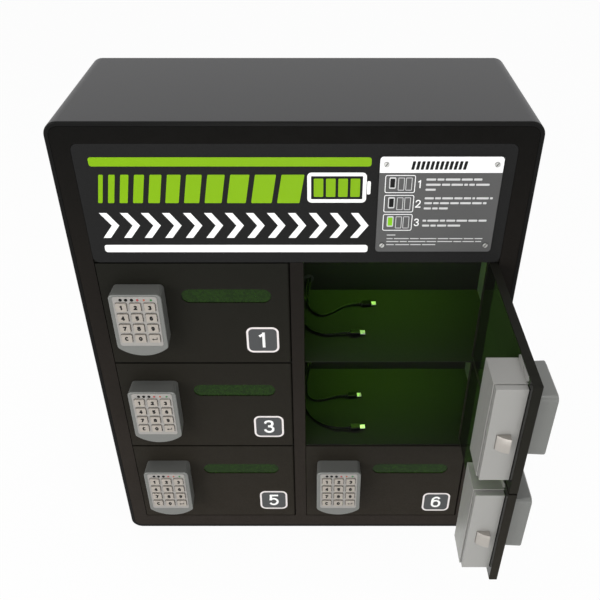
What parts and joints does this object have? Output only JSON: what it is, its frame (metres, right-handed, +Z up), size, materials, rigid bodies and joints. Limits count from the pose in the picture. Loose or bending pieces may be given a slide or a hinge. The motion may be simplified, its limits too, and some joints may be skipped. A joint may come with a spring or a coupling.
{
  "type": "phone charging locker",
  "caption": "Wall-mounted steel cabinet of small phone charging bays with keypad doors, inside locks with sliding bolts and charging leads under a printed header panel.",
  "frame": {"origin": "centre of the casing's bottom face", "axes": "+Z up, the doors face -Y, the wall side is +Y, +X is the viewer's right"},
  "size_m": [0.5312, 0.4355, 0.66],
  "materials": {
    "casing_coat": "satin powder coat",
    "frame_coat": "fine textured powder coat",
    "header_coat": "matt laminate",
    "bay_coat": "black powder coat",
    "plate_metal": "printed, satin",
    "zinc": "zinc plated",
    "lock_metal": "brushed",
    "bolt_metal": "satin",
    "smoked_acrylic": "glossy smoked",
    "keypad_silver": "satin silver",
    "key_silicone": "matt",
    "hub_plastic": "matt",
    "led": "lit",
    "cord_rubber": "satin",
    "plug_plastic": "matt"
  },
  "bodies": {
    "cabinet": {"casing": "casing_coat", "back_panel": "casing_coat", "front_frame": "frame_coat", "header_panel": "header_coat", "instruction_plate": "plate_metal", "screws": "zinc", "bay_divider": "bay_coat", "bay_shelves": "bay_coat", "bay_back_wall": "bay_coat", "led_strips": "led", "charging_hub": "hub_plastic", "cable_grommets": "cord_rubber", "hinge_pins": "zinc", "cord_bay2_rear": "cord_rubber", "cord_bay2_front": "cord_rubber", "cord_bay4_rear": "cord_rubber", "cord_bay4_front": "cord_rubber", "cord_plugs": "plug_plastic"},
    "door_1_leaf": {"door_1": "frame_coat", "door_liner_1": "smoked_acrylic", "keypad_case_1": "keypad_silver", "lock_case_1": "lock_metal", "lock_body_1": "lock_metal"},
    "bolt_1": {"lock_bolt_1": "bolt_metal"},
    "keys_1": {"keypad_keys_1": "key_silicone"},
    "door_2_leaf": {"door_2": "frame_coat", "door_liner_2": "smoked_acrylic", "keypad_case_2": "keypad_silver", "lock_case_2": "lock_metal", "lock_body_2": "lock_metal"},
    "bolt_2": {"lock_bolt_2": "bolt_metal"},
    "keys_2": {"keypad_keys_2": "key_silicone"},
    "door_3_leaf": {"door_3": "frame_coat", "door_liner_3": "smoked_acrylic", "keypad_case_3": "keypad_silver", "lock_case_3": "lock_metal", "lock_body_3": "lock_metal"},
    "bolt_3": {"lock_bolt_3": "bolt_metal"},
    "keys_3": {"keypad_keys_3": "key_silicone"},
    "door_4_leaf": {"door_4": "frame_coat", "door_liner_4": "smoked_acrylic", "keypad_case_4": "keypad_silver", "lock_case_4": "lock_metal", "lock_body_4": "lock_metal"},
    "bolt_4": {"lock_bolt_4": "bolt_metal"},
    "keys_4": {"keypad_keys_4": "key_silicone"},
    "door_5_leaf": {"door_5": "frame_coat", "door_liner_5": "smoked_acrylic", "keypad_case_5": "keypad_silver", "lock_case_5": "lock_metal", "lock_body_5": "lock_metal"},
    "bolt_5": {"lock_bolt_5": "bolt_metal"},
    "keys_5": {"keypad_keys_5": "key_silicone"},
    "door_6_leaf": {"door_6": "frame_coat", "door_liner_6": "smoked_acrylic", "keypad_case_6": "keypad_silver", "lock_case_6": "lock_metal", "lock_body_6": "lock_metal"},
    "bolt_6": {"lock_bolt_6": "bolt_metal"},
    "keys_6": {"keypad_keys_6": "key_silicone"}
  },
  "joints": [
    {"name": "door_1_hinge", "type": "hinge", "parent": "cabinet", "child": "door_1_leaf", "pos_m": [-0.0139, -0.1028, 0.41095], "axis": [0, 0, 1], "range_deg": [0, 100]},
    {"name": "bolt_1_slide", "type": "slide", "parent": "door_1_leaf", "child": "bolt_1", "axis": [-1, 0, 0], "range_m": [-0.0065, 0.011]},
    {"name": "keys_1_press", "type": "slide", "parent": "door_1_leaf", "child": "keys_1", "axis": [0, 1, 0], "range_m": [0, 0.001], "stiffness_N_per_m": 2000},
    {"name": "door_2_hinge", "type": "hinge", "parent": "cabinet", "child": "door_2_leaf", "pos_m": [0.2339, -0.1028, 0.41095], "axis": [0, 0, 1], "range_deg": [-90, 10]},
    {"name": "bolt_2_slide", "type": "slide", "parent": "door_2_leaf", "child": "bolt_2", "axis": [0, -1, 0], "range_m": [-0.0065, 0.011]},
    {"name": "keys_2_press", "type": "slide", "parent": "door_2_leaf", "child": "keys_2", "axis": [-1, 0, 0], "range_m": [0, 0.001], "stiffness_N_per_m": 2000},
    {"name": "door_3_hinge", "type": "hinge", "parent": "cabinet", "child": "door_3_leaf", "pos_m": [-0.0139, -0.1028, 0.25745], "axis": [0, 0, 1], "range_deg": [0, 100]},
    {"name": "bolt_3_slide", "type": "slide", "parent": "door_3_leaf", "child": "bolt_3", "axis": [-1, 0, 0], "range_m": [-0.0065, 0.011]},
    {"name": "keys_3_press", "type": "slide", "parent": "door_3_leaf", "child": "keys_3", "axis": [0, 1, 0], "range_m": [0, 0.001], "stiffness_N_per_m": 2000},
    {"name": "door_4_hinge", "type": "hinge", "parent": "cabinet", "child": "door_4_leaf", "pos_m": [0.2339, -0.1028, 0.25745], "axis": [0, 0, 1], "range_deg": [-90, 10]},
    {"name": "bolt_4_slide", "type": "slide", "parent": "door_4_leaf", "child": "bolt_4", "axis": [0, -1, 0], "range_m": [-0.0065, 0.011]},
    {"name": "keys_4_press", "type": "slide", "parent": "door_4_leaf", "child": "keys_4", "axis": [-1, 0, 0], "range_m": [0, 0.001], "stiffness_N_per_m": 2000},
    {"name": "door_5_hinge", "type": "hinge", "parent": "cabinet", "child": "door_5_leaf", "pos_m": [-0.0139, -0.1028, 0.10395], "axis": [0, 0, 1], "range_deg": [0, 100]},
    {"name": "bolt_5_slide", "type": "slide", "parent": "door_5_leaf", "child": "bolt_5", "axis": [-1, 0, 0], "range_m": [-0.0065, 0.011]},
    {"name": "keys_5_press", "type": "slide", "parent": "door_5_leaf", "child": "keys_5", "axis": [0, 1, 0], "range_m": [0, 0.001], "stiffness_N_per_m": 2000},
    {"name": "door_6_hinge", "type": "hinge", "parent": "cabinet", "child": "door_6_leaf", "pos_m": [0.2339, -0.1028, 0.10395], "axis": [0, 0, 1], "range_deg": [0, 100]},
    {"name": "bolt_6_slide", "type": "slide", "parent": "door_6_leaf", "child": "bolt_6", "axis": [-1, 0, 0], "range_m": [-0.0065, 0.011]},
    {"name": "keys_6_press", "type": "slide", "parent": "door_6_leaf", "child": "keys_6", "axis": [0, 1, 0], "range_m": [0, 0.001], "stiffness_N_per_m": 2000}
  ]
}
